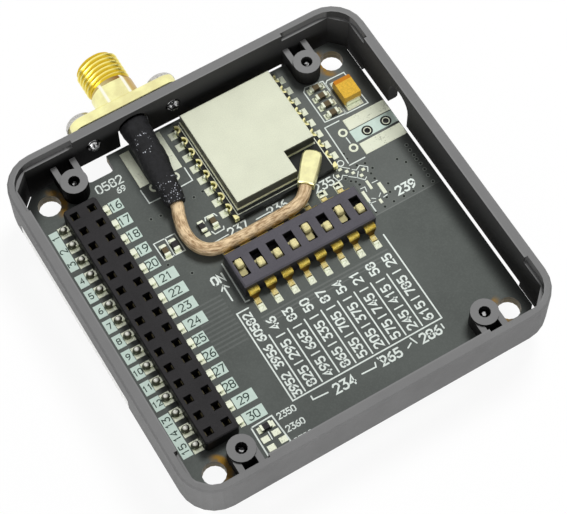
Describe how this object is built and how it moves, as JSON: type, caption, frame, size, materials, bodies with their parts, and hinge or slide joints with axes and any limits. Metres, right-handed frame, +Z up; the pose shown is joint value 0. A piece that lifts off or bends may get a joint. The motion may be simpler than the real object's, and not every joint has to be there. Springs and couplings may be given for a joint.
{
  "type": "stackable radio module",
  "caption": "Square stackable circuit module in a moulded frame: shielded radio board, slide switches, pin strips and a threaded antenna connector.",
  "frame": {"origin": "middle of the bottom of the part's whole box, at the level of its pin tips", "axes": "+X along the wall with the antenna connector, +Y out of that connector, +Z up out of the open face"},
  "size_m": [0.0542, 0.0638, 0.0128],
  "materials": {
    "frame_plastic": "fine moulded grain",
    "label_film": "smooth film",
    "solder_mask": "satin solder mask",
    "header_plastic": "moulded",
    "switch_plastic": "moulded",
    "knob_plastic": "smooth",
    "tinned_metal": "plated",
    "radio_mask": "satin solder mask",
    "can_metal": "warm plated sheet",
    "gold_plate": "gold plated",
    "screw_steel": "nickel plated",
    "sleeve_plastic": "crinkled sleeve",
    "lead_jacket": "translucent brown jacket",
    "insulator_plastic": "smooth",
    "capacitor_resin": "moulded resin",
    "chip_ceramic": "fired ceramic"
  },
  "bodies": {
    "module": {"frame": "frame_plastic", "side_label": "label_film", "circuit_board": "solder_mask", "board_screw_1": "screw_steel", "board_screw_2": "screw_steel", "board_screw_3": "screw_steel", "board_screw_4": "screw_steel", "bus_socket": "header_plastic", "bus_plug": "header_plastic", "dip_base": "switch_plastic", "dip_pin_1": "tinned_metal", "dip_pin_2": "tinned_metal", "dip_pin_3": "tinned_metal", "dip_pin_4": "tinned_metal", "dip_pin_5": "tinned_metal", "dip_pin_6": "tinned_metal", "dip_pin_7": "tinned_metal", "dip_pin_8": "tinned_metal", "dip_pin_9": "tinned_metal", "dip_pin_10": "tinned_metal", "dip_pin_11": "tinned_metal", "dip_pin_12": "tinned_metal", "dip_pin_13": "tinned_metal", "dip_pin_14": "tinned_metal", "dip_pin_15": "tinned_metal", "dip_pin_16": "tinned_metal", "radio_board": "radio_mask", "radio_can": "can_metal", "coax_receptacle": "gold_plate", "coax_plug": "gold_plate", "coax_lead": "lead_jacket", "heat_shrink": "sleeve_plastic", "antenna_connector": "gold_plate", "connector_insulator": "insulator_plastic", "connector_contact": "gold_plate", "flange_screw_1": "screw_steel", "flange_screw_2": "screw_steel", "tantalum_capacitor": "capacitor_resin", "chip_1": "chip_ceramic", "chip_2": "chip_ceramic", "chip_3": "chip_ceramic", "chip_4": "chip_ceramic", "chip_5": "chip_ceramic", "chip_6": "chip_ceramic", "chip_7": "chip_ceramic", "chip_8": "chip_ceramic", "chip_9": "chip_ceramic"},
    "slider_1": {"dip_slider_1": "knob_plastic"},
    "slider_2": {"dip_slider_2": "knob_plastic"},
    "slider_3": {"dip_slider_3": "knob_plastic"},
    "slider_4": {"dip_slider_4": "knob_plastic"},
    "slider_5": {"dip_slider_5": "knob_plastic"},
    "slider_6": {"dip_slider_6": "knob_plastic"},
    "slider_7": {"dip_slider_7": "knob_plastic"},
    "slider_8": {"dip_slider_8": "knob_plastic"}
  },
  "joints": [
    {"name": "slide_1", "type": "slide", "parent": "module", "child": "slider_1", "axis": [0, 1, 0], "range_m": [-0.0012, 0]},
    {"name": "slide_2", "type": "slide", "parent": "module", "child": "slider_2", "axis": [0, 1, 0], "range_m": [0, 0.0012]},
    {"name": "slide_3", "type": "slide", "parent": "module", "child": "slider_3", "axis": [0, 1, 0], "range_m": [0, 0.0012]},
    {"name": "slide_4", "type": "slide", "parent": "module", "child": "slider_4", "axis": [0, 1, 0], "range_m": [0, 0.0012]},
    {"name": "slide_5", "type": "slide", "parent": "module", "child": "slider_5", "axis": [0, 1, 0], "range_m": [-0.0012, 0]},
    {"name": "slide_6", "type": "slide", "parent": "module", "child": "slider_6", "axis": [0, 1, 0], "range_m": [0, 0.0012]},
    {"name": "slide_7", "type": "slide", "parent": "module", "child": "slider_7", "axis": [0, 1, 0], "range_m": [-0.0012, 0]},
    {"name": "slide_8", "type": "slide", "parent": "module", "child": "slider_8", "axis": [0, 1, 0], "range_m": [0, 0.0012]}
  ]
}
